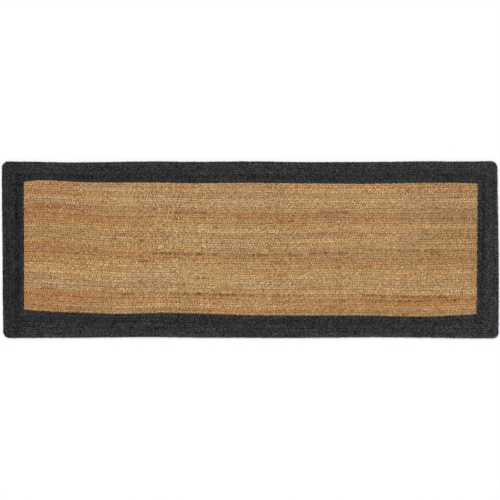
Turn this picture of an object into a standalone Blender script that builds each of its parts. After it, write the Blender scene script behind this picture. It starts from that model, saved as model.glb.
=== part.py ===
"""Hand-braided jute runner rug.

Twenty-six flat braids of natural jute lie side by side along the runner and make its field.  Five
charcoal braids go round them as closed loops and make its border.  Sewing thread in the grooves of the
underside holds the field rows and the loops together, and one more thread, in the upper groove, sews the
border to the field.

X runs along the runner, Y across it and Z up.  The origin is the middle of the face on the floor.  A
braid is a solid bar here, flat above and below, with its long edges taken off.
"""

import math

import bmesh
import bpy
import numpy as np
from mathutils import Vector

# Overall sizes in metres, between the straight lines that the hand-made edges wander about
RUG_LENGTH = 2.130
RUG_WIDTH = 0.756
BRAID_THICKNESS = 0.010

# Braids
FIELD_ROWS = 26
BORDER_LOOPS = 5
BORDER_BRAID_WIDTH = 0.0183
EDGE_ROUND = 0.003  # how much of a bar's edge is taken off
SEAM_GAP = 0.0004  # between a braid and the next one

# Corners of the border, from its outer edge to its inner edge
OUTER_CORNER_RADIUS = 0.026
INNER_CORNER_RADIUS = 0.0015
CORNER_STEPS = 4

# Sewing thread, which lies in the groove between two rounded edges
THREAD_RADIUS = 0.0009
THREAD_CLEARANCE = 0.0003
THREAD_TAIL = 0.008  # where a field thread ends, short of the border

# The runner is made by hand, so its edges aren't straight.  All of these are in millimetres, and a
# positive one lies further out from the middle of the rug.
MM = 0.001

# Corner: its side of the middle along X and Y, then where its outer and its inner corner lie along X and Y
CORNERS = [
    ("back_left", (-1, 1), (2.0, 0.0), (-0.5, 3.5)),
    ("back_right", (1, 1), (-4.0, 2.0), (5.5, -2.5)),
    ("front_right", (1, -1), (1.5, 2.0), (0.5, -9.0)),
    ("front_left", (-1, -1), (-4.0, 0.0), (-1.5, -27.5)),
]

# Place along the length from -1 to 1, then the back border's outer and inner edge and the front
# border's inner and outer edge
LENGTH_WAVER = [
    (-0.930, 0.3, 10.7, 3.9, -0.2),
    (-0.850, -1.2, 5.4, 8.1, -0.8),
    (-0.720, -3.9, -0.7, 10.9, -1.0),
    (-0.575, -2.5, -0.7, 15.1, -3.2),
    (-0.400, 0.4, -0.2, 7.0, -5.0),
    (-0.220, -1.8, -3.2, 9.3, -2.2),
    (0.000, 0.0, 0.5, 14.8, -1.5),
    (0.235, -3.7, -1.8, 13.1, -1.8),
    (0.490, -3.0, -3.0, 10.7, -4.7),
    (0.720, -0.2, 1.1, 14.1, -3.0),
    (0.850, -1.8, 3.5, 10.4, -0.7),
]

# Place across the width from -1 to 1, then the left end's and the right end's outer edge.  The ends of
# the field are cut straight.
WIDTH_WAVER = [
    (-0.500, 0.5, 2.5),
    (0.000, 0.0, 3.3),
    (0.500, 0.8, 1.5),
]

# Place along the length, then how far the middle rows sway towards the back edge there, as a share of a
# row's width.  The rows next to the border hardly do.
ROW_SWAY = [
    (-1.000, 0.85),
    (-0.850, 0.80),
    (-0.720, 0.60),
    (-0.575, 0.30),
    (-0.400, 0.10),
    (-0.220, 0.00),
    (0.235, 0.00),
    (0.360, 0.35),
    (0.490, 0.15),
    (0.720, 0.00),
]

BORDER_WIDTH = BORDER_LOOPS * BORDER_BRAID_WIDTH
FIELD_LENGTH = RUG_LENGTH - 2 * BORDER_WIDTH
FIELD_WIDTH = RUG_WIDTH - 2 * BORDER_WIDTH
GROOVE_DEPTH = EDGE_ROUND + SEAM_GAP / 2  # down to where the slopes of two edges would meet
THREAD_DEPTH = GROOVE_DEPTH - THREAD_RADIUS - THREAD_CLEARANCE * math.sqrt(2)


def clear_scene():
    for old in list(bpy.data.objects):
        bpy.data.objects.remove(old, do_unlink=True)


def finish_material(name, colour, roughness):
    material = bpy.data.materials.new(name)
    material.use_nodes = True
    shader = material.node_tree.nodes["Principled BSDF"]
    shader.inputs["Base Color"].default_value = (*colour, 1.0)
    shader.inputs["Roughness"].default_value = roughness
    shader.inputs["Metallic"].default_value = 0.0
    return material


def natural_jute():
    return finish_material("natural_jute", (0.41, 0.24, 0.10), 0.9)


def charcoal_jute():
    return finish_material("charcoal_jute", (0.030, 0.030, 0.031), 0.9)


def natural_thread():
    return finish_material("natural_thread", (0.50, 0.36, 0.20), 0.8)


def black_thread():
    return finish_material("black_thread", (0.012, 0.012, 0.013), 0.8)


def waver(table, column, place):
    """The wander of an edge at a place from -1 to 1.  It is nothing at both corners."""
    places = [-1.0] + [row[0] for row in table] + [1.0]
    amounts = [0.0] + [row[column] for row in table] + [0.0]
    return float(np.interp(place, places, amounts)) * MM


# The sides in the order in which a loop runs: the table of its edge, the columns of its outer and inner
# edge (None is straight), and whether the loop runs towards +1 (1) or towards -1 (-1)
SIDES = [
    (LENGTH_WAVER, 1, 2, 1),
    (WIDTH_WAVER, 2, None, -1),
    (LENGTH_WAVER, 4, 3, -1),
    (WIDTH_WAVER, 1, None, 1),
]


def corner_point(number, line):
    """A sharp corner of a border line.  Line 0 is the rug's outer edge, and the last one the field's edge."""
    _, (side_x, side_y), outer, inner = CORNERS[number % len(CORNERS)]
    inward = line / BORDER_LOOPS
    half_x = RUG_LENGTH / 2 - line * BORDER_BRAID_WIDTH
    half_y = RUG_WIDTH / 2 - line * BORDER_BRAID_WIDTH
    out = Vector(outer).lerp(Vector(inner), inward) * MM
    return Vector((side_x * (half_x + out.x), side_y * (half_y + out.y)))


def side_point(number, line, along):
    """A point of one side of a border line, from -1 at the corner it leaves to 1 at the corner it meets."""
    table, outer_column, inner_column, heading = SIDES[number]
    start = corner_point(number, line)
    end = corner_point(number + 1, line)
    run = end - start
    outwards = Vector((-run.y, run.x)).normalized()
    outer = waver(table, outer_column, along * heading)
    inner = waver(table, inner_column, along * heading) if inner_column else 0.0
    wander = outer + (inner - outer) * line / BORDER_LOOPS
    return start.lerp(end, (along + 1) / 2) + outwards * wander


def corner_radius(line):
    return OUTER_CORNER_RADIUS + (INNER_CORNER_RADIUS - OUTER_CORNER_RADIUS) * line / BORDER_LOOPS


def corner_share(number, line):
    """The part of half a side that a rounded corner takes."""
    run = corner_point(number + 1, line) - corner_point(number, line)
    return corner_radius(line) / (run.length / 2)


def border_line(line):
    """The points of a closed line of the border, with rounded corners."""
    points = []
    for number, (table, _, _, heading) in enumerate(SIDES):
        share = corner_share(number, line)
        places = [row[0] * heading for row in table][::heading]
        points += [side_point(number, line, p) for p in [share - 1, *places, 1 - share]]
        following = (number + 1) % len(SIDES)
        tip = corner_point(number + 1, line)
        leave = points[-1] - tip
        meet = side_point(following, line, corner_share(following, line) - 1) - tip
        for step in range(1, CORNER_STEPS):
            turn = math.radians(90) * step / CORNER_STEPS
            points.append(tip + leave * (1 - math.sin(turn)) + meet * (1 - math.cos(turn)))
    return points


def field_point(seam, place):
    """A point of the field: seam 0 is its back edge, and the last one its front edge."""
    back = side_point(0, BORDER_LOOPS, place)
    front = side_point(2, BORDER_LOOPS, -place)
    sway = float(np.interp(place, *zip(*ROW_SWAY))) * math.sin(math.pi * seam / FIELD_ROWS)
    return back.lerp(front, (seam - sway) / FIELD_ROWS)


def field_line(seam, start, end):
    """The points of a line along the field, between two places from -1 to 1."""
    bends = {row[0] for row in LENGTH_WAVER} | {row[0] for row in ROW_SWAY}
    places = sorted(p for p in bends if start < p < end)
    return [field_point(seam, p) for p in [start, *places, end]]


def add_chain(bm, points, closed):
    """A chain of edges through the points."""
    verts = [bm.verts.new((p.x, p.y, 0.0)) for p in points]
    pairs = list(zip(verts, verts[1:]))
    if closed:
        pairs.append((verts[-1], verts[0]))
    return [bm.edges.new(pair) for pair in pairs]


def braid_bar(name, near_line, far_line, closed, material, parent):
    """A bar between two lines on the floor: its plan is bridged, raised and has its edges taken off."""
    bm = bmesh.new()
    edges = add_chain(bm, near_line, closed) + add_chain(bm, far_line, closed)
    bmesh.ops.bridge_loops(bm, edges=edges)
    raised = bmesh.ops.extrude_face_region(bm, geom=bm.faces[:])["geom"]
    top = [item for item in raised if isinstance(item, bmesh.types.BMVert)]
    bmesh.ops.translate(bm, verts=top, vec=(0.0, 0.0, BRAID_THICKNESS))
    bmesh.ops.recalc_face_normals(bm, faces=bm.faces[:])
    sharp = [edge for edge in bm.edges if edge.calc_face_angle() > math.radians(60)]
    bmesh.ops.bevel(
        bm, geom=sharp, offset=EDGE_ROUND, segments=1, profile=0.5, affect="EDGES", clamp_overlap=False
    )
    mesh = bpy.data.meshes.new(name)
    bm.to_mesh(mesh)
    bm.free()
    mesh.materials.append(material)
    bar = bpy.data.objects.new(name, mesh)
    bar.parent = parent
    bpy.context.collection.objects.link(bar)


def thread_tube(name, points, height, closed, material, parent):
    """Sewing thread along a seam, square in section and standing on its edge, so that it fits the groove."""
    curve = bpy.data.curves.new(name, "CURVE")
    curve.dimensions = "3D"
    curve.twist_mode = "Z_UP"
    curve.bevel_depth = THREAD_RADIUS
    curve.bevel_resolution = 0
    curve.use_fill_caps = True
    curve.materials.append(material)
    spline = curve.splines.new("POLY")
    spline.points.add(len(points) - 1)
    for spot, point in zip(spline.points, points):
        spot.co = (point.x, point.y, height, 1.0)
    spline.use_cyclic_u = closed
    thread = bpy.data.objects.new(name, curve)
    thread.parent = parent
    bpy.context.collection.objects.link(thread)


def build_field(parent):
    """The natural rows, numbered from the back edge."""
    jute = natural_jute()
    half_gap = SEAM_GAP / 2 / (FIELD_WIDTH / FIELD_ROWS)
    end = 1 - SEAM_GAP / 2 / (FIELD_LENGTH / 2)
    for row in range(FIELD_ROWS):
        near_line = field_line(row + half_gap, -end, end)
        far_line = field_line(row + 1 - half_gap, -end, end)
        braid_bar(f"field_braid_{row + 1:02d}", near_line, far_line, False, jute, parent)


def build_border(parent):
    """The charcoal loops, numbered from the outer edge."""
    jute = charcoal_jute()
    half_gap = SEAM_GAP / 2 / BORDER_BRAID_WIDTH
    for loop in range(BORDER_LOOPS):
        outer_line = border_line(loop + half_gap)
        inner_line = border_line(loop + 1 - half_gap)
        braid_bar(f"border_braid_{loop + 1}", outer_line, inner_line, True, jute, parent)


def build_field_threads(parent):
    """Each thread sews one seam, turns at the right end of a row and sews the next seam on its way back."""
    cotton = natural_thread()
    tail = THREAD_TAIL / (FIELD_LENGTH / 2) - 1
    for number, seam in enumerate(range(1, FIELD_ROWS, 2)):
        points = field_line(seam, tail, 1.0)
        if seam + 1 < FIELD_ROWS:
            points += field_line(seam + 1, tail, 1.0)[::-1]
        thread_tube(f"field_thread_{number + 1:02d}", points, THREAD_DEPTH, False, cotton, parent)


def build_border_threads(parent):
    """One thread inside each loop.  The innermost one is in the upper groove, as field threads turn below it."""
    cotton = black_thread()
    for loop in range(1, BORDER_LOOPS + 1):
        height = THREAD_DEPTH if loop < BORDER_LOOPS else BRAID_THICKNESS - THREAD_DEPTH
        thread_tube(f"border_thread_{loop}", border_line(loop), height, True, cotton, parent)


def build():
    clear_scene()
    rug = bpy.data.objects.new("runner_rug", None)
    bpy.context.collection.objects.link(rug)
    build_field(rug)
    build_border(rug)
    build_field_threads(rug)
    build_border_threads(rug)


build()
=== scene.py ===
import math

import bmesh
import bpy
import numpy as np
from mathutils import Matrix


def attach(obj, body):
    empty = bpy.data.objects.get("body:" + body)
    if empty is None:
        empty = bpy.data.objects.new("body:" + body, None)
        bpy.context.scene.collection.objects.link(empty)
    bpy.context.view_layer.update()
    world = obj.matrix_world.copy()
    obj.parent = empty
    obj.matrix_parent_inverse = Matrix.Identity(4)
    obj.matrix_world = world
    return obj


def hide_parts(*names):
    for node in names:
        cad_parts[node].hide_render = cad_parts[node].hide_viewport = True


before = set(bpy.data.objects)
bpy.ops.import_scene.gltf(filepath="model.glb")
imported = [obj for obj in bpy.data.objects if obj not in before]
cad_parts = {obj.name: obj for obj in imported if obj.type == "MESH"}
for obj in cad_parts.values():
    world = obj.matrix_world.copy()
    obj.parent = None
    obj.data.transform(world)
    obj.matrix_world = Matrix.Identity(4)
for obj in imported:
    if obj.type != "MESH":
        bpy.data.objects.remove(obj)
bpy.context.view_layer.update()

# ---------------------------------------------------------------------------------------------------
# The runner's layout, in metres.  It is the CAD model's own: X along the runner, Y across, Z up.
# ---------------------------------------------------------------------------------------------------
RUG_LENGTH = 2.130
RUG_WIDTH = 0.756
BRAID_THICKNESS = 0.010
FIELD_ROWS = 26
BORDER_LOOPS = 5
BORDER_BRAID_WIDTH = 0.0183
SEAM_GAP = 0.0004
OUTER_CORNER_RADIUS = 0.026
INNER_CORNER_RADIUS = 0.0015
MM = 0.001

BORDER_WIDTH = BORDER_LOOPS * BORDER_BRAID_WIDTH
FIELD_LENGTH = RUG_LENGTH - 2 * BORDER_WIDTH
FIELD_BRAID_WIDTH = (RUG_WIDTH - 2 * BORDER_WIDTH) / FIELD_ROWS

# Corner: its side of the middle along X and Y, then where its outer and its inner corner lie, in
# millimetres further out than the plain rectangle
CORNERS = [
    ((-1, 1), (2.0, 0.0), (-0.5, 3.5)),
    ((1, 1), (-4.0, 2.0), (5.5, -2.5)),
    ((1, -1), (1.5, 2.0), (0.5, -9.0)),
    ((-1, -1), (-4.0, 0.0), (-1.5, -27.5)),
]

# Place along the length from -1 to 1, then how far out, in millimetres, the back border's outer and
# inner edge and the front border's inner and outer edge lie
LENGTH_WAVER = [
    (-0.930, 0.3, 10.7, 3.9, -0.2),
    (-0.850, -1.2, 5.4, 8.1, -0.8),
    (-0.720, -3.9, -0.7, 10.9, -1.0),
    (-0.575, -2.5, -0.7, 15.1, -3.2),
    (-0.400, 0.4, -0.2, 7.0, -5.0),
    (-0.220, -1.8, -3.2, 9.3, -2.2),
    (0.000, 0.0, 0.5, 14.8, -1.5),
    (0.235, -3.7, -1.8, 13.1, -1.8),
    (0.490, -3.0, -3.0, 10.7, -4.7),
    (0.720, -0.2, 1.1, 14.1, -3.0),
    (0.850, -1.8, 3.5, 10.4, -0.7),
]

# Place across the width from -1 to 1, then the left end's and the right end's outer edge
WIDTH_WAVER = [
    (-0.500, 0.5, 2.5),
    (0.000, 0.0, 3.3),
    (0.500, 0.8, 1.5),
]

# The sides in the order in which a loop runs: the table of its edge, the columns of its outer and its
# inner edge, and whether the loop runs towards +1 or towards -1
SIDES = [
    (LENGTH_WAVER, 1, 2, 1),
    (WIDTH_WAVER, 2, None, -1),
    (LENGTH_WAVER, 4, 3, -1),
    (WIDTH_WAVER, 1, None, 1),
]

# Place along the length, then how far the middle rows sway towards the back edge there, as a share of a
# row's width.  The rows next to the border hardly do.
ROW_SWAY = [
    (-1.000, 0.85),
    (-0.850, 0.80),
    (-0.720, 0.60),
    (-0.575, 0.30),
    (-0.400, 0.10),
    (-0.220, 0.00),
    (0.235, 0.00),
    (0.360, 0.35),
    (0.490, 0.15),
    (0.720, 0.00),
]
SEAM_WANDER = 0.0009  # how far a seam strays by hand, which both its rows share
SEAM_WANDER_RUN = 0.16

WAVER_EASE = 0.05  # how far to each side a kink of an edge is smoothed, as a share of half the side
EASE_SAMPLES = 9
CORNER_FAN = 0.045  # how far from a corner the cross-lines of a loop start to fan out
BED_STEP = 0.003  # between the cross-lines that a braid is laid on

# Where the random draws of each row, loop and seam start
ROW_SEED = 100
LOOP_SEED = 200
SEAM_SEED = 300

# ---------------------------------------------------------------------------------------------------
# The braids.  Each is a flat plait of three strands, and each strand is a loose roving of jute.
# ---------------------------------------------------------------------------------------------------
FIELD_PITCH = 0.0310  # one strand's way from an edge of the plait and back to it
BORDER_PITCH = 0.0300
RINGS_PER_PITCH = 12
STRAND_COLUMNS = 8  # corners of a strand's section

SWING_SHARE = 0.70  # how far a strand's middle swings out, as a share of half the braid's width
STRAND_SHARE = 0.48  # half a strand's width, as the same share
FULLNESS = 0.06  # how much longer a strand stays at the edge than in a plain wave
CLIMB = 0.0024  # how far a strand's middle rises and sinks as it passes over and under
STRAND_HALF_HEIGHT = 0.0026
EDGE_SWELL = 0.55  # how much thicker a strand is where it turns at the braid's edge
# Painted crease shade of the field and the border: how much darker the strands' colour is made down in the
# creases, where shade falls, in red, green and blue: jute's shadows are brown
FIELD_CREASE_SHADE = (0.06, 0.17, 0.36)
BORDER_CREASE_SHADE = (0.80, 0.80, 0.80)
SLIP = 1.4  # how far the plaiting runs ahead and behind its even pitch, in radians of a turn
SLIP_RUN = 0.12
PITCH_SPREAD = 0.03  # how much the pitch of one row differs from the next

# How uneven the hand's work is: how much, and over what length of the braid it changes
TURN_DRIFT = (0.10, 0.05)  # of one strand against the others, in radians
SWING_DRIFT = (0.045, 0.03)  # as a share of the swing
CLIMB_DRIFT = (0.10, 0.03)  # as a share of the climb
HEIGHT_DRIFT = (0.00025, 0.05)
GIRTH_DRIFT = (0.07, 0.022)  # as a share of a strand's thickness
GIRTH_LIMITS = (0.82, 1.2)

TUCK = 0.0015  # how far the ends of a field row go under the border
END_HEIGHT = 0.72  # how high the flattened end of a field row is, as a share of its height
END_RUN = 0.012
FLOOR_CLEARANCE = 0.0001

# Where the painted crease shade goes: a point is in a crease when it is near the middle of the braid's
# thickness
CREASE_START = 0.15  # as a share of half the thickness
CREASE_SPAN = 0.6
CREASE_POWER = 1.5

# sRGB tones of sun-dried, retted and dyed jute
TONES = {
    "p": "CCA56F",  # pale straw
    "s": "C69E69",  # straw
    "g": "C99C63",  # golden
    "n": "C19461",  # the usual field tone
    "o": "BC9460",  # olive
    "a": "C08E58",  # amber
    "r": "B98450",  # rust
    "u": "B18956",  # umber
}

# Stretches that the retting stained or the sun bleached, and dark stretches: along the seams these are
# painted shade of gaps where the seam is sewn looser, elsewhere dark stains.  Each is its place across the
# field in rows from the back edge, where it starts and ends along the row, as shares of it, its kind and
# its strength.
STREAKS = [
    (2.7, 0.01, 0.12, "rust", 0.9),
    (3.75, 0.07, 0.17, "pale", 0.8),
    (5.7, 0.02, 0.12, "dark", 0.7),
    (5.9, 0.32, 0.41, "dark", 1.0),
    (7.0, 0.05, 0.50, "rust", 0.7),
    (8.5, 0.00, 0.16, "rust", 0.8),
    (9.5, 0.11, 0.20, "rust", 0.9),
    (11.5, 0.07, 0.22, "dark", 0.6),
    (11.2, 0.12, 0.33, "pale", 0.7),
    (13.4, 0.07, 0.25, "rust", 0.9),
    (14.2, 0.28, 0.43, "dark", 1.2),
    (14.2, 0.50, 0.56, "dark", 1.1),
    (15.2, 0.14, 0.50, "rust", 0.7),
    (16.3, 0.28, 0.39, "green", 0.8),
    (16.7, 0.03, 0.14, "rust", 0.8),
    (17.1, 0.24, 0.97, "pale", 0.7),
    (20.3, 0.33, 0.36, "dark", 0.8),
    (22.1, 0.32, 0.62, "dark", 0.9),
    (22.1, 0.74, 0.93, "dark", 0.9),
    (22.8, 0.00, 0.24, "rust", 1.1),
    (23.1, 0.24, 0.50, "rust", 0.7),
    (23.0, 0.74, 0.96, "dark", 0.8),
    (24.2, 0.22, 0.68, "pale", 0.7),
    (25.3, 0.02, 0.98, "rust", 0.8),
    (1.6, 0.81, 1.00, "dark", 0.6),
    (3.2, 0.50, 0.56, "rust", 0.8),
    (5.8, 0.65, 0.72, "dark", 1.1),
    (7.4, 0.50, 0.61, "rust", 0.8),
    (8.5, 0.64, 0.89, "amber", 0.8),
    (10.2, 0.58, 0.83, "dark", 0.5),
    (13.2, 0.74, 0.92, "dark", 0.6),
    (13.9, 0.63, 0.72, "dark", 1.1),
    (15.5, 0.50, 0.84, "rust", 0.6),
    (16.4, 0.53, 0.70, "green", 0.7),
]
STREAK_REACH = 1  # how far from a row's middle a streak still stains it, in rows
STREAK_WIDTH = 0.22  # in rows
STREAK_END = 0.006  # over how much of the row's length a streak comes and goes
STREAK_RUN = 0.009  # how often a streak breaks up
STREAK_COVER = 0.55  # how solid a streak is on average, how much that varies, and the most it can be
STREAK_BREAKS = 0.75
STREAK_LIMIT = 1.5
FRAGMENTS = 7  # short dark fragments of bark in a row, apart from the streaks above
FRAGMENT_LAST_START = 0.97
FRAGMENT_LENGTHS = (0.008, 0.045)  # the least and the most, as shares of the row's length
FRAGMENT_STRENGTHS = (0.25, 0.75)
# How much lighter and how much warmer each kind makes the jute
STREAK_KINDS = {
    # dark: painted shade of a looser seam's gap where it lies along a seam, and a dark stain elsewhere
    "dark": (-0.58, 0.02),
    "rust": (-0.20, 0.24),
    "amber": (-0.04, 0.20),
    "pale": (0.18, -0.05),
    "green": (0.08, -0.14),
}

# One letter for each seventh of a row's length, from the left end to the right, back row first
ROW_TONES = [
    "nnnnnnu", "nppsppn", "agnnnnn", "spppgps", "nsssssn", "rnnonou", "rnaruau",
    "rrgnaau", "aaggggg", "ogppgnu", "onsonsu", "oppsppo", "agssgsn", "rngonnu",
    "raauuou", "angnaau", "opssosn", "ggpgggs", "ppppssn", "osspsso", "sossnss",
    "ospspss", "rauanar", "rangaar", "ansgnan", "uouauuu",
]
ROW_TONE_SHARE = 0.85  # how much of a letter's difference from the usual field tone the row takes
TONE_SHIFT = 0.025  # how far along the row each strand's change from tone to tone strays
TONE_SHIFT_KNOTS = 8
CHARCOAL_TONES = ["262627", "242425", "252424", "202021", "232323"]  # outermost loop first

# How uneven the jute's light is: how much, and over what length it changes
BRAID_SHADES = [(0.065, 0.12), (0.035, 0.35)]
STRAND_PATCHES = (0.085, 0.011)
STRAND_STRETCHES = (0.040, 0.060)
STRAND_SPOTS = (0.30, 0.008)
SPOT_RARITY = 1.5
FIBRE_SHADES = (0.05, 0.030)
LIGHT_LIMITS = (0.35, 1.6)
FIELD_DEPTH = 1.0
BORDER_DEPTH = 1.9  # the dye takes unevenly, so the border varies more
STRAND_TAKE_UP = 1.4  # how much longer a strand is than its braid, near enough for its shades

# How warm the jute is, which moves red, green and blue by these shares
FIELD_LEAN = (0.35, 0.0, -1.0)
FIELD_WARM_LANES = (0.09, 0.16)
FIELD_WARM_STRAND = 0.03
FIELD_WARM_PATCHES = (0.05, 0.03)
BORDER_LEAN = (0.8, 0.0, -0.8)
BORDER_WARM_PATCHES = (0.05, 0.06)

JUTE_FIBRE_WIDTH = 0.0009  # bundles of fibres, drawn about ten times as coarse as one jute fibre
JUTE_FIBRE_RUN = 0.045  # how far along the strand a bundle keeps its shade
FLECK_RUN = 0.0070  # flecks of bark and bleached fibre
FLECK_WIDTH = 0.0030
LEFT_END_DYE = 0.78  # how much of the light of the other sides the left end gives back: it is dyed deeper
LEFT_END_FADE = (-1.00, -0.96)  # where along X that deeper dye ends
LANES = 5  # how many lines across a braid have a shade of their own
HUE_FOLLOWS_LIGHT = (0.75, 1.05, 1.45)  # lighter jute is creamier, and darker jute is redder


def srgb(code):
    """A hex colour as linear red, green and blue."""
    parts = [int(code[i : i + 2], 16) / 255 for i in (0, 2, 4)]
    return tuple(p / 12.92 if p <= 0.04045 else ((p + 0.055) / 1.055) ** 2.4 for p in parts)


# ---------------------------------------------------------------------------------------------------
# Lines of the layout
# ---------------------------------------------------------------------------------------------------
def eased(place, places, amounts):
    """The amounts at places from -1 to 1, with the kinks smoothed."""
    reach = np.minimum(WAVER_EASE, 1 - np.abs(place))
    steps = np.linspace(-1, 1, EASE_SAMPLES)
    return np.mean([np.interp(place + reach * step, places, amounts) for step in steps], axis=0)


def waver(table, column, place):
    """How far out an edge wanders at places from -1 to 1.  It is nothing at both corners."""
    places = [-1.0, *(row[0] for row in table), 1.0]
    amounts = [0.0, *(row[column] for row in table), 0.0]
    return eased(place, places, amounts) * MM


def corner_point(number, line):
    """A border line's sharp corner.  Line 0 is the rug's outer edge, and the last is the field's edge."""
    (side_x, side_y), outer, inner = CORNERS[number % len(CORNERS)]
    inward = line / BORDER_LOOPS
    out_x, out_y = (a + (b - a) * inward for a, b in zip(outer, inner))
    half_x = RUG_LENGTH / 2 - line * BORDER_BRAID_WIDTH + out_x * MM
    half_y = RUG_WIDTH / 2 - line * BORDER_BRAID_WIDTH + out_y * MM
    return np.array((side_x * half_x, side_y * half_y))


def side_run(number, line):
    """A side's start, its heading and its length, from corner to corner."""
    start, end = corner_point(number, line), corner_point(number + 1, line)
    length = float(np.hypot(*(end - start)))
    return start, (end - start) / length, length


def side_points(number, line, distance):
    """Points of one side of a border line, at distances from the corner that it leaves."""
    table, outer_column, inner_column, heading = SIDES[number % len(SIDES)]
    start, forward, length = side_run(number, line)
    distance = np.atleast_1d(distance)
    place = (2 * distance / length - 1) * heading
    outer = waver(table, outer_column, place)
    inner = waver(table, inner_column, place) if inner_column else 0.0
    wander = outer + (inner - outer) * line / BORDER_LOOPS
    outwards = np.array((-forward[1], forward[0]))
    return start + distance[:, None] * forward + wander[:, None] * outwards


def corner_radius(line):
    """A border line's radius at the corners, which gets smaller from the outer edge to the field."""
    return OUTER_CORNER_RADIUS + (INNER_CORNER_RADIUS - OUTER_CORNER_RADIUS) * line / BORDER_LOOPS


def rounded_side(number, line, distance):
    """The same points with the corners at both ends of the side rounded."""
    points = side_points(number, line, distance)
    length = side_run(number, line)[2]
    radius = corner_radius(line)
    for corner, left in ((number, distance), (number + 1, length - distance)):
        turning = left < radius
        before = side_run(corner - 1, line)[2]
        tip = corner_point(corner, line)
        leave = side_points(corner - 1, line, before - radius)[0] - tip
        meet = side_points(corner, line, radius)[0] - tip
        turn = np.radians(45) * (1 - left[turning] / radius)
        turn = np.radians(90) - turn if corner == number else turn
        bend = np.outer(1 - np.sin(turn), leave) + np.outer(1 - np.cos(turn), meet)
        points[turning] = tip + bend
    return points


def loop_edge(number, line, centre_line, distance):
    """An edge of a loop beside points of its centre line: square to them, and fanned out at corners."""
    start, forward, length = side_run(number, centre_line)
    edge_start, _, edge_length = side_run(number, line)
    before = float((start - edge_start) @ forward)
    after = edge_length - length - before
    centre_stops = [0.0, CORNER_FAN, length - CORNER_FAN, length]
    edge_stops = [0.0, CORNER_FAN + before, edge_length - CORNER_FAN - after, edge_length]
    return rounded_side(number, line, np.interp(distance, centre_stops, edge_stops))


def distance_along(line):
    """How far along a line each of its points is."""
    steps = np.hypot(*np.diff(line, axis=0).T)
    return np.concatenate([[0.0], np.cumsum(steps)])


class Bed:
    """The strip of floor that a braid is laid on: its centre line, and from there out to its left edge."""

    def __init__(self, left, right, closed):
        if closed:
            left, right = (np.vstack([edge, edge[:1]]) for edge in (left, right))
        self.centre = (left + right) / 2
        self.reach = (left - right) / 2
        self.along = distance_along(self.centre)
        self.length = float(self.along[-1])
        self.closed = closed

    def lay(self, straight, half_width):
        """Moves straight work, given as points along, across and above, to its place on the floor."""
        along, across, above = straight.T
        held = along % self.length if self.closed else along.clip(0.0, self.length)
        middle = [np.interp(held, self.along, column) for column in self.centre.T]
        sideways = [np.interp(held, self.along, column) for column in self.reach.T]
        x, y = (m + s * across / half_width for m, s in zip(middle, sideways))
        # what goes past an open end runs straight on
        return np.stack([x if self.closed else x + along - held, y, above], axis=1)


def loop_bed(loop):
    """The bed between two border lines, all the way round."""
    half_gap = SEAM_GAP / 2 / BORDER_BRAID_WIDTH
    outer, inner = [], []
    for number in range(len(SIDES)):
        centre_line = loop + 0.5
        length = side_run(number, centre_line)[2]
        distance = np.linspace(0, length, round(length / BED_STEP), endpoint=False)
        outer.append(loop_edge(number, loop + half_gap, centre_line, distance))
        inner.append(loop_edge(number, loop + 1 - half_gap, centre_line, distance))
    return Bed(np.vstack(outer), np.vstack(inner), closed=True)


def seam_line(seam, place):
    """A line of the field, at places from -1 to 1.  Seam 0 is its back edge, and the last its front."""
    back = side_points(0, BORDER_LOOPS, (place + 1) / 2 * side_run(0, BORDER_LOOPS)[2])
    front = side_points(2, BORDER_LOOPS, (1 - place) / 2 * side_run(2, BORDER_LOOPS)[2])
    sway = eased(place, *zip(*ROW_SWAY)) * math.sin(math.pi * seam / FIELD_ROWS)
    whole = math.floor(seam)
    part = seam - whole
    stray = seam_stray(whole, place) * (1 - part) + seam_stray(whole + 1, place) * part
    return back + (front - back) * ((seam - sway + stray) / FIELD_ROWS)[:, None]


def seam_stray(seam, place):
    """How far one seam strays, as a share of a row.  The field's edges don't."""
    if seam <= 0 or seam >= FIELD_ROWS:
        return np.zeros(len(place))
    rng = np.random.default_rng(SEAM_SEED + seam)
    return drift(rng, (place + 1) / 2, FIELD_LENGTH / SEAM_WANDER_RUN) * SEAM_WANDER / FIELD_BRAID_WIDTH


def row_bed(row):
    """The bed between two seams of the field, from one end of the border to the other."""
    half_gap = SEAM_GAP / 2 / FIELD_BRAID_WIDTH
    end = 1 - SEAM_GAP / FIELD_LENGTH
    place = np.linspace(-end, end, round(FIELD_LENGTH / BED_STEP))
    return Bed(seam_line(row + half_gap, place), seam_line(row + 1 - half_gap, place), closed=False)


# ---------------------------------------------------------------------------------------------------
# Plaiting
# ---------------------------------------------------------------------------------------------------
def drift(rng, place, knots):
    """A slow random wander about 0 at places from 0 to 1.  It ends where it starts."""
    values = rng.normal(size=max(int(knots), 2))
    return np.interp(place * len(values), np.arange(len(values) + 1), np.append(values, values[0]))


def uneven(rng, place, length, amount_and_run):
    """A random wander of a given amount, which changes over a given run of a braid or strand."""
    amount, run = amount_and_run
    return amount * drift(rng, place, length / run)


def strand_section(half_width, half_height):
    """The flattened round that a strand has across it, as a closed curve."""
    curve = bpy.data.curves.new("strand_section", "CURVE")
    curve.dimensions = "2D"
    spline = curve.splines.new("POLY")
    spline.points.add(STRAND_COLUMNS - 1)
    for number, point in enumerate(spline.points):
        turn = -2 * math.pi * number / STRAND_COLUMNS - math.pi / 2
        point.co = (half_width * math.cos(turn), half_height * math.sin(turn), 0.0, 1.0)
    spline.use_cyclic_u = True
    section = bpy.data.objects.new("strand_section", curve)
    bpy.context.collection.objects.link(section)
    return section


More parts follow.
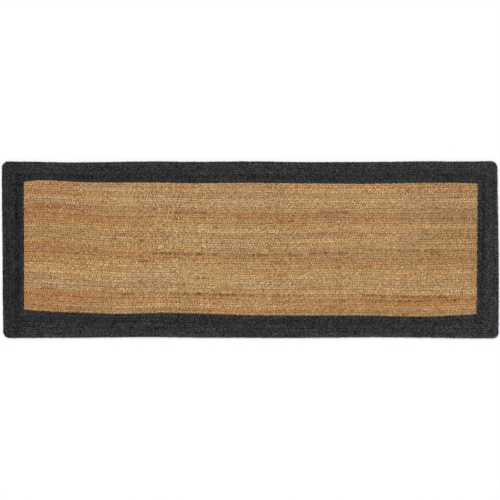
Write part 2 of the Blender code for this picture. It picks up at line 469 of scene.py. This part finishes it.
def mesh_of(name, curve):
    """The mesh that a curve makes.  The curve itself is removed."""
    holder = bpy.data.objects.new(name, curve)
    bpy.context.collection.objects.link(holder)
    graph = bpy.context.evaluated_depsgraph_get()
    mesh = bpy.data.meshes.new_from_object(holder.evaluated_get(graph))
    bpy.data.objects.remove(holder)
    bpy.data.curves.remove(curve)
    mesh.name = name
    return mesh


def finished(bm, mesh):
    """Turns the faces outwards, shades them smooth and puts them in the mesh."""
    bmesh.ops.recalc_face_normals(bm, faces=bm.faces[:])
    for face in bm.faces:
        face.smooth = True
    bm.to_mesh(mesh)
    bm.free()


def swept(name, paths, section):
    """A mesh of tubes, one along each path, with the section kept upright."""
    curve = bpy.data.curves.new(name, "CURVE")
    curve.dimensions = "3D"
    curve.twist_mode = "Z_UP"
    curve.bevel_mode = "OBJECT"
    curve.bevel_object = section
    for path, girth in paths:
        spline = curve.splines.new("POLY")
        spline.points.add(len(path) - 1)
        spline.points.foreach_set("co", np.column_stack([path, np.ones(len(path))]).ravel())
        spline.points.foreach_set("radius", girth)
    return mesh_of(name, curve)


def read_points(mesh):
    """The places of a mesh's vertices."""
    points = np.empty(len(mesh.vertices) * 3, np.float32)
    mesh.vertices.foreach_get("co", points)
    return points.reshape(-1, 3).astype(float)


# How far apart two strands lie in the map of fibres, along and round, so that no two look the same
STRAND_MAP_STEP = (7.3, 0.31)
STRIP_MARGIN = 0.04  # free to each side of a strip, as a share of its width
MAP_MARGIN = 0.002
CAP_SPOT = 0.0015  # where the ends of the strands lie in the maps, and how large they are there
CAP_SPOT_RADIUS = 0.0005


def strand_maps(mesh, rings, girth, step):
    """Two maps of a plait: metres along and round each strand, and the strands as strips in a square."""
    corner = np.empty(len(mesh.loops), np.int32)
    mesh.loops.foreach_get("vertex_index", corner)
    face = corner.reshape(-1, 4)
    column = face % STRAND_COLUMNS
    ring = face // STRAND_COLUMNS % rings
    strand = face // STRAND_COLUMNS // rings
    wraps = column.max(axis=1) - column.min(axis=1) > 1
    column = np.where(wraps[:, None] & (column == 0), STRAND_COLUMNS, column)
    strand_map = mesh.uv_layers[0]
    strand_map.name = "Strand"
    along = ring * step + strand * STRAND_MAP_STEP[0]
    around = column / STRAND_COLUMNS * girth + strand * STRAND_MAP_STEP[1]
    strand_map.uv.foreach_set("vector", np.stack([along, around], axis=2).astype(np.float32).ravel())

    # Strips: each strand is cut into as many as make the whole sheet of strips about square
    cuts = max(round(math.sqrt((rings - 1) * step / (3 * girth))), 1)
    per_strip = math.ceil((rings - 1) / cuts)
    first = ring.min(axis=1) // per_strip
    strip = strand[:, 0] * cuts + first
    strips = 3 * cuts
    u = (ring - first[:, None] * per_strip) / per_strip
    v = (strip[:, None] + STRIP_MARGIN + (1 - 2 * STRIP_MARGIN) * column / STRAND_COLUMNS) / strips
    u = MAP_MARGIN + (1 - 2 * MAP_MARGIN) * u
    bake_map = mesh.uv_layers.new(name="OFBake", do_init=False)
    bake_map.uv.foreach_set("vector", np.stack([u, v], axis=2).astype(np.float32).ravel())
    mesh.uv_layers.active = strand_map


def strand_paths(bed, half_width, pitch, rng):
    """The three strands of a straight plait: places along it, their paths with their girths, the heights of
    their middles, and how far round the plait's figure each one is."""
    pitches = bed.length / pitch
    if bed.closed:
        pitches = round(pitches)
    else:
        pitches = pitches * (1 + PITCH_SPREAD * rng.uniform(-1, 1))
    first = rng.uniform()
    share = np.linspace(0, 1, round(pitches * RINGS_PER_PITCH) + 1)
    tuck = 0.0 if bed.closed else -TUCK
    along = tuck + share * (bed.length - 2 * tuck)
    slip = SLIP * drift(rng, share, bed.length / SLIP_RUN)
    paths, middles, turns = [], [], []
    for strand in range(3):
        turn = 2 * math.pi * (pitches * share + strand / 3 + first) + slip
        turn = turn + uneven(rng, share, bed.length, TURN_DRIFT)
        swing = half_width * SWING_SHARE * (1 + uneven(rng, share, bed.length, SWING_DRIFT))
        climb = CLIMB * (1 + uneven(rng, share, bed.length, CLIMB_DRIFT))
        across = swing * (np.sin(turn) + FULLNESS * np.sin(3 * turn)) / (1 - FULLNESS)
        above = -climb * np.sin(2 * turn) + uneven(rng, share, bed.length, HEIGHT_DRIFT)
        path = np.column_stack([along, across, above])
        girth = 1 + uneven(rng, share, bed.length, GIRTH_DRIFT)
        paths.append((path, girth.clip(*GIRTH_LIMITS)))
        middles.append(above)
        turns.append(turn)
    return share, paths, np.array(middles)[:, :, None], np.array(turns)[:, :, None]


def cap_ends(bm):
    """Closes the open ends of the strands, and gives the caps a small spot of their own in each map."""
    ends = [edge for edge in bm.edges if edge.is_boundary]
    caps = bmesh.ops.holes_fill(bm, edges=ends, sides=STRAND_COLUMNS)["faces"]
    for layer in bm.loops.layers.uv.values():
        for cap in caps:
            for number, corner in enumerate(cap.loops):
                turn = 2 * math.pi * number / len(cap.loops)
                u = CAP_SPOT + CAP_SPOT_RADIUS * math.cos(turn)
                v = CAP_SPOT + CAP_SPOT_RADIUS * math.sin(turn)
                corner[layer].uv = (u, v)


def plait(name, bed, width, pitch, rng, tone, painted_crease_shade):
    """A three-strand plait and the length of its strands: it is plaited straight, then laid on its bed."""
    half_width = width / 2
    share, paths, middle, turns = strand_paths(bed, half_width, pitch, rng)
    rings = len(share)
    section = strand_section(half_width * STRAND_SHARE, STRAND_HALF_HEIGHT)
    mesh = swept(name, paths, section)
    bpy.data.objects.remove(section)

    points = read_points(mesh).reshape(3, rings, STRAND_COLUMNS, 3)
    if bed.closed:
        # both ends of each strand meet halfway
        lap = np.array((bed.length, 0.0, 0.0))
        points[:, -1] = (points[:, 0] + lap + points[:, -1]) / 2
        points[:, 0] = points[:, -1] - lap
    swell = 1 + EDGE_SWELL * np.sin(turns) ** 2
    points[..., 2] = middle + (points[..., 2] - middle) * swell + BRAID_THICKNESS / 2
    points[..., 2] = np.maximum(points[..., 2], FLOOR_CLEARANCE)
    if not bed.closed:
        # the ends are flattened, to go under the border's edge
        from_end = np.minimum(points[..., 0], bed.length - points[..., 0]).clip(0, None)
        points[..., 2] *= END_HEIGHT + (1 - END_HEIGHT) * (from_end / END_RUN).clip(0, 1)
    girth = 2 * math.pi * math.sqrt(((half_width * STRAND_SHARE) ** 2 + STRAND_HALF_HEIGHT**2) / 2)
    step = float(np.hypot(*np.diff(paths[0][0][:, :2], axis=0).T).mean())
    strand_maps(mesh, rings, girth, step)
    across = points[..., 1] / half_width
    laid = bed.lay(points.reshape(-1, 3), half_width)
    mesh.vertices.foreach_set("co", laid.astype(np.float32).ravel())
    colours = mesh.color_attributes.new("Tone", "FLOAT_COLOR", "POINT")
    from_middle = np.abs(points[..., 2] / (BRAID_THICKNESS / 2) - 1)
    crease_shade_mask = (1 - (from_middle - CREASE_START) / CREASE_SPAN).clip(0, 1) ** CREASE_POWER
    shade = tone(rng, share, across, bed)
    # Painted shade: the colours are made darker down in the creases, where less light falls
    shade[..., :3] *= 1 - np.array(painted_crease_shade) * crease_shade_mask[..., None]
    colours.data.foreach_set("color", shade.astype(np.float32).ravel())

    bm = bmesh.new()
    bm.from_mesh(mesh)
    if bed.closed:
        bmesh.ops.remove_doubles(bm, verts=bm.verts[:], dist=0.00001)
    else:
        cap_ends(bm)
    finished(bm, mesh)
    return bpy.data.objects.new(name, mesh), step * (rings - 1)


def lanes(rng, share, across, knots):
    """A wander along a braid that also differs from one of its edges to the other."""
    lines = np.array([drift(rng, share, knots) for _ in range(LANES)])
    spot = (across.clip(-1, 1) + 1) / 2 * (LANES - 1)
    below = np.floor(spot).astype(int).clip(0, LANES - 2)
    part = spot - below
    ring = np.arange(len(share))[None, :, None]
    return lines[below, ring] * (1 - part) + lines[below + 1, ring] * part


def shaded(rng, share, across, bed, depth):
    """How light each point of three strands is: patches, spots, lanes and shades along the fibres."""
    strand_length = bed.length * STRAND_TAKE_UP
    spot_depth, spot_run = STRAND_SPOTS
    light = np.ones(across.shape)
    for amount, run in BRAID_SHADES:
        light += amount * depth * lanes(rng, share, across, bed.length / run)
    for strand in range(3):
        patches = uneven(rng, share, strand_length, STRAND_PATCHES)
        stretches = uneven(rng, share, strand_length, STRAND_STRETCHES)
        spots = np.maximum(drift(rng, share, strand_length / spot_run) - SPOT_RARITY, 0) * spot_depth
        light[strand] += (patches + stretches - spots)[:, None] * depth
        for column in range(STRAND_COLUMNS):
            light[strand, :, column] += uneven(rng, share, strand_length, FIBRE_SHADES) * depth
    return light.clip(*LIGHT_LIMITS)


def stained(rng, share, across, row):
    """How light and how warm the row's stained, bleached and dark stretches are.  Along the seams the dark
    ones are painted shade.
    """
    light, warm = np.ones(across.shape), np.zeros(across.shape)
    position = row + (1 - across) / 2
    fragments = []
    for _ in range(FRAGMENTS):
        start = rng.uniform(0, FRAGMENT_LAST_START)
        end = start + rng.uniform(*FRAGMENT_LENGTHS)
        place = row + rng.uniform(0, 1)
        fragments.append((place, start, end, "dark", rng.uniform(*FRAGMENT_STRENGTHS)))
    for place, start, end, kind, strength in STREAKS + fragments:
        if abs(place - row - 0.5) > STREAK_REACH:
            continue
        lighter, warmer = STREAK_KINDS[kind]
        inside = ((share - start) / STREAK_END).clip(0, 1) * ((end - share) / STREAK_END).clip(0, 1)
        ragged = STREAK_COVER + STREAK_BREAKS * drift(rng, share, FIELD_LENGTH / STREAK_RUN)
        ragged = ragged.clip(0, STREAK_LIMIT)
        near = np.exp(-(((position - place) / STREAK_WIDTH) ** 2))
        amount = (near * (inside * ragged)[None, :, None] * strength).clip(0, 1)
        light *= 1 + lighter * amount
        warm += warmer * amount
    return light, warm


def field_tone(row):
    """The tones of a row of natural jute, as a function that plait() calls."""
    letters = ROW_TONES[row]
    stops = (np.arange(len(letters)) + 0.5) / len(letters)
    usual = np.array(srgb(TONES["n"]))
    steps = usual + ROW_TONE_SHARE * (np.array([srgb(TONES[letter]) for letter in letters]) - usual)

    def tone(rng, share, across, bed):
        light = shaded(rng, share, across, bed, FIELD_DEPTH)
        stain, warm = stained(rng, share, across, row)
        lane_warmth, lane_run = FIELD_WARM_LANES
        warm = warm + lane_warmth * lanes(rng, share, across, bed.length / lane_run)
        colours = np.ones((*across.shape, 4))
        for strand in range(3):
            place = share + TONE_SHIFT * drift(rng, share, TONE_SHIFT_KNOTS)
            tint = warm[strand] + FIELD_WARM_STRAND * rng.normal()
            tint = tint + uneven(rng, share, bed.length, FIELD_WARM_PATCHES)[:, None]
            for channel, lean in enumerate(FIELD_LEAN):
                base = np.interp(place, stops, steps[:, channel])[:, None] * (1 + lean * tint)
                follow = (light[strand] * stain[strand]) ** HUE_FOLLOWS_LIGHT[channel]
                colours[strand, :, :, channel] = base * follow
        return colours

    return tone


def border_tone(number):
    """The tones of a loop of charcoal jute: the dye took unevenly, so some of it is browner or bluer."""

    def tone(rng, share, across, bed):
        light = shaded(rng, share, across, bed, BORDER_DEPTH)
        deeper = np.interp(bed.centre[:, 0], LEFT_END_FADE, (LEFT_END_DYE, 1.0))
        base = srgb(CHARCOAL_TONES[number])
        colours = np.ones((*across.shape, 4))
        for strand in range(3):
            light[strand] *= np.interp(share * bed.length, bed.along, deeper)[:, None]
            warm = uneven(rng, share, bed.length, BORDER_WARM_PATCHES)[:, None]
            for channel, lean in enumerate(BORDER_LEAN):
                colours[strand, :, :, channel] = base[channel] * (1 + lean * warm) * light[strand]
        return colours

    return tone


# ---------------------------------------------------------------------------------------------------
# Materials
# ---------------------------------------------------------------------------------------------------
def add(tree, kind, values=None, links=None, **settings):
    """A node with its settings, the values of its inputs and what is linked to its inputs."""
    node = tree.nodes.new("ShaderNode" + kind)
    for setting, value in settings.items():
        setattr(node, setting, value)
    for socket, value in (values or {}).items():
        node.inputs[socket].default_value = value
    for socket, source in (links or {}).items():
        tree.links.new(source, node.inputs[socket])
    return node


def new_material(name, sheen, specular):
    """A material with its node tree and its shader."""
    material = bpy.data.materials.new(name)
    material.use_nodes = True
    shader = material.node_tree.nodes["Principled BSDF"]
    shader.inputs["Specular IOR Level"].default_value = specular
    shader.inputs["Sheen Weight"].default_value = sheen
    shader.inputs["Sheen Roughness"].default_value = 0.5
    return material, material.node_tree, shader


def jute_roving(name, contrast, dark_fleck, light_fleck, hue_follows, sheen, specular):
    """Jute roving, retted, combed and plaited by hand: matt, with bundles of fibres running along it,
    darker where the bundles part, flecks of bark and bleached fibre, and a faint silky sheen."""
    material, tree, shader = new_material(name, sheen, specular)
    tone = add(tree, "Attribute", attribute_name="Tone")
    strand = add(tree, "UVMap", uv_map="Strand")
    combed = add(
        tree,
        "Mapping",
        {"Scale": (1 / JUTE_FIBRE_RUN, 1 / JUTE_FIBRE_WIDTH, 1.0)},
        {"Vector": strand.outputs["UV"]},
    )
    fibres = add(
        tree,
        "TexNoise",
        {"Scale": 1.0, "Detail": 3.0, "Roughness": 0.65, "Distortion": 0.3},
        {"Vector": combed.outputs["Vector"]},
        noise_dimensions="2D",
    )
    shade = add(
        tree,
        "MapRange",
        {"From Min": 0.30, "From Max": 0.70, "To Min": 1 - contrast, "To Max": 1 + contrast},
        {"Value": fibres.outputs["Fac"]},
        clamp=True,
    )
    spread = add(
        tree,
        "Mapping",
        {"Scale": (1 / FLECK_RUN, 1 / FLECK_WIDTH, 1.0), "Location": (3.1, 1.7, 0.0)},
        {"Vector": strand.outputs["UV"]},
    )
    flecks = add(
        tree,
        "TexNoise",
        {"Scale": 1.0, "Detail": 2.0, "Roughness": 0.5, "Distortion": 0.2},
        {"Vector": spread.outputs["Vector"]},
        noise_dimensions="2D",
    )
    # inputs 6 to 10 are the vector ones: value, from min, from max, to min and to max
    speckle = add(
        tree,
        "MapRange",
        {
            7: (0.28, 0.28, 0.28),
            8: (0.72, 0.72, 0.72),
            9: tuple((1 - dark_fleck) ** follow for follow in hue_follows),
            10: tuple((1 + light_fleck) ** follow for follow in hue_follows),
        },
        {6: flecks.outputs["Fac"]},
        data_type="FLOAT_VECTOR",
        clamp=True,
    )
    fibrous = add(
        tree,
        "VectorMath",
        None,
        {0: tone.outputs["Color"], "Scale": shade.outputs["Result"]},
        operation="SCALE",
    )
    colour = add(
        tree,
        "VectorMath",
        None,
        {0: fibrous.outputs["Vector"], 1: speckle.outputs["Vector"]},
        operation="MULTIPLY",
    )
    tree.links.new(colour.outputs["Vector"], shader.inputs["Base Color"])
    dull = add(
        tree,
        "MapRange",
        {"From Min": 0.3, "From Max": 0.7, "To Min": 0.95, "To Max": 0.75},
        {"Value": fibres.outputs["Fac"]},
    )
    tree.links.new(dull.outputs["Result"], shader.inputs["Roughness"])
    ridges = add(
        tree,
        "Bump",
        {"Strength": 0.7, "Distance": 0.0005},
        {"Height": fibres.outputs["Fac"]},
    )
    tree.links.new(ridges.outputs["Normal"], shader.inputs["Normal"])
    return material


def sewing_thread(name, code):
    """Spun sewing thread: a tight twist that shows as slanting ridges, with a slight waxed shine."""
    material, tree, shader = new_material(name, sheen=0.2, specular=0.25)
    shader.inputs["Roughness"].default_value = 0.6
    place = add(tree, "TexCoord")
    twist = add(
        tree,
        "TexWave",
        {"Scale": 260.0, "Distortion": 1.5, "Detail": 2.0},
        {"Vector": place.outputs["Object"]},
        wave_type="BANDS",
        bands_direction="DIAGONAL",
    )
    base = srgb(code)
    ramp = add(tree, "ValToRGB", None, {"Fac": twist.outputs["Fac"]})
    ramp.color_ramp.elements[0].color = (*(0.6 * c for c in base), 1.0)
    ramp.color_ramp.elements[1].color = (*base, 1.0)
    tree.links.new(ramp.outputs["Color"], shader.inputs["Base Color"])
    ridges = add(tree, "Bump", {"Strength": 0.5, "Distance": 0.0002}, {"Height": twist.outputs["Fac"]})
    tree.links.new(ridges.outputs["Normal"], shader.inputs["Normal"])
    return material


def studio_floor():
    """Seamless matt studio paper, white."""
    material, _, shader = new_material("white_studio_paper", sheen=0.0, specular=0.25)
    shader.inputs["Roughness"].default_value = 0.9
    shader.inputs["Base Color"].default_value = (0.93, 0.93, 0.93, 1.0)
    return material


# ---------------------------------------------------------------------------------------------------
# Sewing threads, laced along the seams
# ---------------------------------------------------------------------------------------------------
STITCH = 0.012
THREAD_THICKNESS = 0.0011
SEAM_ENDS = (-0.991, 0.995)  # where the lacing of the field starts and turns, from -1 to 1
SEAM_SAMPLES = 700

# A lacing's height in the seam, its height at both sides of it, and how far out to each side it goes.
# Those of the rows and the loops run low in the plaits, and the one at the field's edge lies higher.
ROW_LACING = (0.0030, 0.0016, 0.0032)
LOOP_LACING = (0.0030, 0.0016, 0.0028)
FIELD_EDGE_LACING = (0.0050, 0.0066, 0.0014)


def lacing(line, in_seam, at_sides, reach, closed):
    """Points of a thread that laces back and forth across a seam, four to each turn of it."""
    along = distance_along(line)
    stitches = 2 * round(along[-1] / STITCH / 2)
    count = 2 * stitches
    place = np.linspace(0, along[-1], count, endpoint=not closed)
    middle = np.column_stack([np.interp(place, along, column) for column in line.T])
    ahead = np.column_stack([np.interp(place + 0.001, along, column) for column in line.T])
    behind = np.column_stack([np.interp(place - 0.001, along, column) for column in line.T])
    heading = ahead - behind
    heading /= np.linalg.norm(heading, axis=1)[:, None]
    outwards = np.column_stack([-heading[:, 1], heading[:, 0]])
    swing = np.array((0.0, 1.0, 0.0, -1.0))[np.arange(len(place)) % 4]
    height = np.where(swing == 0, in_seam, at_sides)
    return np.column_stack([middle + outwards * (swing * reach)[:, None], height])


def thread_piece(name, points, closed):
    """A round thread through the points, as an object."""
    curve = bpy.data.curves.new(name, "CURVE")
    curve.dimensions = "3D"
    curve.twist_mode = "Z_UP"
    curve.bevel_depth = THREAD_THICKNESS / 2
    curve.bevel_resolution = 1
    curve.use_fill_caps = not closed
    spline = curve.splines.new("POLY")
    spline.points.add(len(points) - 1)
    spline.points.foreach_set("co", np.column_stack([points, np.ones(len(points))]).ravel())
    spline.use_cyclic_u = closed
    mesh = mesh_of(name, curve)
    bm = bmesh.new()
    bm.from_mesh(mesh)
    bmesh.ops.remove_doubles(bm, verts=bm.verts[:], dist=0.000001)
    finished(bm, mesh)
    return bpy.data.objects.new(name, mesh)


# ---------------------------------------------------------------------------------------------------
# The runner
# ---------------------------------------------------------------------------------------------------
def place_piece(piece, node, material):
    """Puts a piece in the scene, in place of its plain solid."""
    bpy.context.collection.objects.link(piece)
    piece.data.materials.clear()
    piece.data.materials.append(material)
    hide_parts(node)
    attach(piece, "root")


natural = jute_roving(
    "natural_jute_roving",
    contrast=0.25,
    dark_fleck=0.82,
    light_fleck=0.45,
    hue_follows=HUE_FOLLOWS_LIGHT,
    sheen=0.15,
    specular=0.25,
)
# The dye dulls the fibre, and the flecks that didn't take it stand out
charcoal = jute_roving(
    "charcoal_dyed_jute_roving",
    contrast=0.60,
    dark_fleck=0.98,
    light_fleck=3.80,
    hue_follows=(1.0, 1.0, 1.0),
    sheen=0.0,
    specular=0.03,
)
natural_thread = sewing_thread("natural_cotton_thread", "C8AE86")
black_thread = sewing_thread("black_cotton_thread", "1C1C1E")

for row in range(FIELD_ROWS):
    rng = np.random.default_rng(ROW_SEED + row)
    made, strand_length = plait(
        f"field_plait_{row + 1:02d}",
        row_bed(row),
        FIELD_BRAID_WIDTH,
        FIELD_PITCH,
        rng,
        field_tone(row),
        FIELD_CREASE_SHADE,
    )
    place_piece(made, f"field_braid_{row + 1:02d}", natural)

for loop in range(BORDER_LOOPS):
    rng = np.random.default_rng(LOOP_SEED + loop)
    made, strand_length = plait(
        f"border_plait_{loop + 1}",
        loop_bed(loop),
        BORDER_BRAID_WIDTH,
        BORDER_PITCH,
        rng,
        border_tone(loop),
        BORDER_CREASE_SHADE,
    )
    place_piece(made, f"border_braid_{loop + 1}", charcoal)

seam_places = np.linspace(*SEAM_ENDS, SEAM_SAMPLES)
for number, seam in enumerate(range(1, FIELD_ROWS, 2)):
    line = seam_line(seam, seam_places)
    if seam + 1 < FIELD_ROWS:
        line = np.vstack([line, seam_line(seam + 1, seam_places)[::-1]])
    points = lacing(line, *ROW_LACING, closed=False)
    made = thread_piece(f"field_lacing_{number + 1:02d}", points, closed=False)
    place_piece(made, f"field_thread_{number + 1:02d}", natural_thread)

for loop in range(1, BORDER_LOOPS + 1):
    sides = []
    for number in range(len(SIDES)):
        length = side_run(number, loop)[2]
        distance = np.linspace(0, length, round(length / BED_STEP), endpoint=False)
        sides.append(rounded_side(number, loop, distance))
    line = np.vstack([*sides, sides[0][:1]])
    points = lacing(line, *(LOOP_LACING if loop < BORDER_LOOPS else FIELD_EDGE_LACING), closed=True)
    made = thread_piece(f"border_lacing_{loop}", points, closed=True)
    place_piece(made, f"border_thread_{loop}", black_thread)

# ---------------------------------------------------------------------------------------------------
# Floor, light and camera
# ---------------------------------------------------------------------------------------------------
FLOOR_HALF_SIZE = 40.0
ROOM_LIGHT = 0.45
SOFTBOX_STRENGTH = 2.6
SOFTBOX_SPREAD = math.radians(25)

floor = bpy.data.meshes.new("studio_floor")
bm = bmesh.new()
bmesh.ops.create_grid(bm, x_segments=1, y_segments=1, size=FLOOR_HALF_SIZE)
bm.to_mesh(floor)
bm.free()
floor.materials.append(studio_floor())
floor = bpy.data.objects.new("studio_floor", floor)
bpy.context.collection.objects.link(floor)

world = bpy.data.worlds.new("studio_room")
bpy.context.scene.world = world
world.use_nodes = True
world.node_tree.nodes["Background"].inputs["Color"].default_value = (1.0, 1.0, 1.0, 1.0)
world.node_tree.nodes["Background"].inputs["Strength"].default_value = ROOM_LIGHT

key = bpy.data.lights.new("overhead_softbox", "SUN")
key.energy = SOFTBOX_STRENGTH
key.angle = SOFTBOX_SPREAD
key = bpy.data.objects.new("overhead_softbox", key)
key.rotation_euler = (math.radians(-28), math.radians(-30), 0.0)
bpy.context.collection.objects.link(key)

CAMERA_HEIGHT = 6.0
VIEW_WIDTH = 2.150
SENSOR_WIDTH = 36.0  # millimetres
lens = bpy.data.cameras.new("camera")
lens.sensor_width = SENSOR_WIDTH
lens.lens = SENSOR_WIDTH * (CAMERA_HEIGHT - BRAID_THICKNESS / 2) / VIEW_WIDTH
lens.clip_end = 100.0
camera = bpy.data.objects.new("camera", lens)
camera.location = (-0.0004, -0.0017, CAMERA_HEIGHT)
bpy.context.collection.objects.link(camera)
bpy.context.scene.camera = camera
bpy.context.scene.view_settings.view_transform = "Standard"
